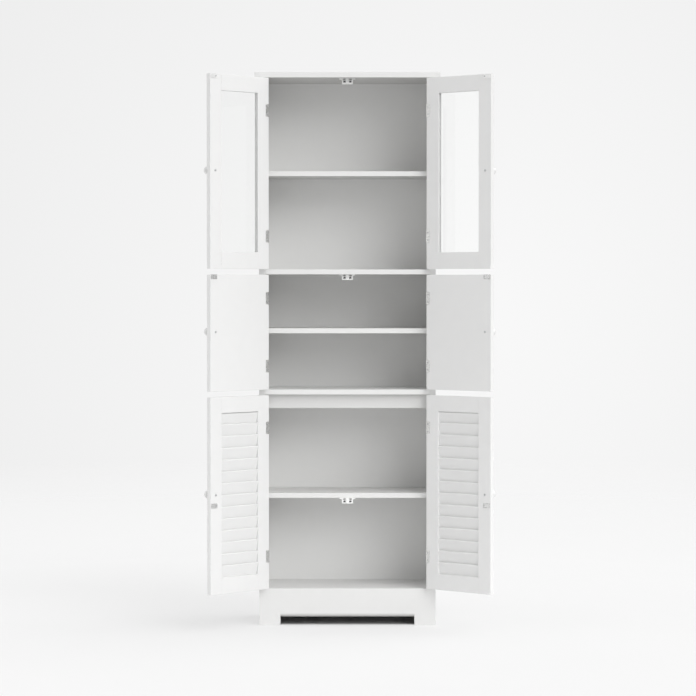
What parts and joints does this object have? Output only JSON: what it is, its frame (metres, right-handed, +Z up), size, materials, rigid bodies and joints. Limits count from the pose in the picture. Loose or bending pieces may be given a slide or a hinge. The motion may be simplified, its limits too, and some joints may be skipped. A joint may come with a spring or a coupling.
{
  "type": "louvred door cabinet",
  "caption": "Tall cabinet on a low base with inset doors in tiers: glazed above, plain in the middle and louvred below, with loose shelves inside.",
  "frame": {"origin": "on the floor at the middle of the cabinet's back edge, where its rear base rail meets the floor and the wall", "axes": "+Z up, +Y towards the wall behind the cabinet, +X to the right seen from the front, so the doors are on the -Y side"},
  "size_m": [0.9314, 0.4955, 1.8],
  "materials": {
    "painted_board": "white satin paint on fibreboard",
    "painted_shelf": "white satin paint on fibreboard",
    "painted_door": "white satin paint on fibreboard",
    "back_sheet": "white foil on thin fibreboard",
    "painted_knob": "white gloss paint on turned wood",
    "clear_glass": "clear float glass",
    "hinge_steel": "satin nickel-plated steel",
    "screw_steel": "zinc-plated steel",
    "cam_zinc": "die-cast zinc",
    "pole_steel": "satin nickel-plated sheet steel",
    "magnet_ferrite": "sintered ferrite",
    "catch_plastic": "moulded white plastic",
    "dowel_beech": "bare beech"
  },
  "bodies": {
    "carcass": {"side_panel_left": "painted_board", "side_panel_right": "painted_board", "top_panel": "painted_board", "bottom_panel": "painted_board", "divider_lower": "painted_board", "divider_upper": "painted_board", "base_apron": "painted_board", "front_base_rail": "painted_board", "rear_base_rail": "painted_board", "door_stop_rail": "painted_board", "shelf_lower": "painted_shelf", "shelf_middle": "painted_shelf", "shelf_upper": "painted_shelf", "back_panel_lower": "back_sheet", "back_panel_middle": "back_sheet", "back_panel_upper": "back_sheet", "back_panel_nails": "screw_steel", "cam_locks": "cam_zinc", "joint_dowels": "dowel_beech", "shelf_pins": "hinge_steel", "hinge_fixed_leaves": "hinge_steel", "hinge_pins": "hinge_steel", "carcass_screws": "screw_steel", "catch_housings": "catch_plastic", "catch_magnets": "magnet_ferrite", "catch_pole_plates": "pole_steel"},
    "door_lower_left": {"frame_lower_left": "painted_door", "slats_lower_left": "painted_door", "knob_lower_left": "painted_knob", "hinge_leaves_lower_left": "hinge_steel", "strike_plate_lower_left": "pole_steel", "screws_lower_left": "screw_steel"},
    "door_lower_right": {"frame_lower_right": "painted_door", "slats_lower_right": "painted_door", "knob_lower_right": "painted_knob", "hinge_leaves_lower_right": "hinge_steel", "strike_plate_lower_right": "pole_steel", "screws_lower_right": "screw_steel"},
    "door_middle_left": {"panel_middle_left": "painted_door", "knob_middle_left": "painted_knob", "hinge_leaves_middle_left": "hinge_steel", "strike_plate_middle_left": "pole_steel", "screws_middle_left": "screw_steel"},
    "door_middle_right": {"panel_middle_right": "painted_door", "knob_middle_right": "painted_knob", "hinge_leaves_middle_right": "hinge_steel", "strike_plate_middle_right": "pole_steel", "screws_middle_right": "screw_steel"},
    "door_upper_left": {"frame_upper_left": "painted_door", "glass_upper_left": "clear_glass", "knob_upper_left": "painted_knob", "hinge_leaves_upper_left": "hinge_steel", "strike_plate_upper_left": "pole_steel", "screws_upper_left": "screw_steel"},
    "door_upper_right": {"frame_upper_right": "painted_door", "glass_upper_right": "clear_glass", "knob_upper_right": "painted_knob", "hinge_leaves_upper_right": "hinge_steel", "strike_plate_upper_right": "pole_steel", "screws_upper_right": "screw_steel"}
  },
  "joints": [
    {"name": "door_lower_left_hinge", "type": "hinge", "parent": "carcass", "child": "door_lower_left", "pos_m": [-0.2685, -0.286, 0.4365], "axis": [0, 0, 1], "range_deg": [-37.5, 132.5]},
    {"name": "door_lower_right_hinge", "type": "hinge", "parent": "carcass", "child": "door_lower_right", "pos_m": [0.2685, -0.286, 0.4365], "axis": [0, 0, 1], "range_deg": [-138.5, 31.5]},
    {"name": "door_middle_left_hinge", "type": "hinge", "parent": "carcass", "child": "door_middle_left", "pos_m": [-0.2685, -0.286, 0.9565], "axis": [0, 0, 1], "range_deg": [-37.5, 132.5]},
    {"name": "door_middle_right_hinge", "type": "hinge", "parent": "carcass", "child": "door_middle_right", "pos_m": [0.2685, -0.286, 0.9565], "axis": [0, 0, 1], "range_deg": [-138.5, 31.5]},
    {"name": "door_upper_left_hinge", "type": "hinge", "parent": "carcass", "child": "door_upper_left", "pos_m": [-0.2685, -0.286, 1.471], "axis": [0, 0, 1], "range_deg": [-37.5, 132.5]},
    {"name": "door_upper_right_hinge", "type": "hinge", "parent": "carcass", "child": "door_upper_right", "pos_m": [0.2685, -0.286, 1.471], "axis": [0, 0, 1], "range_deg": [-138.5, 31.5]}
  ]
}
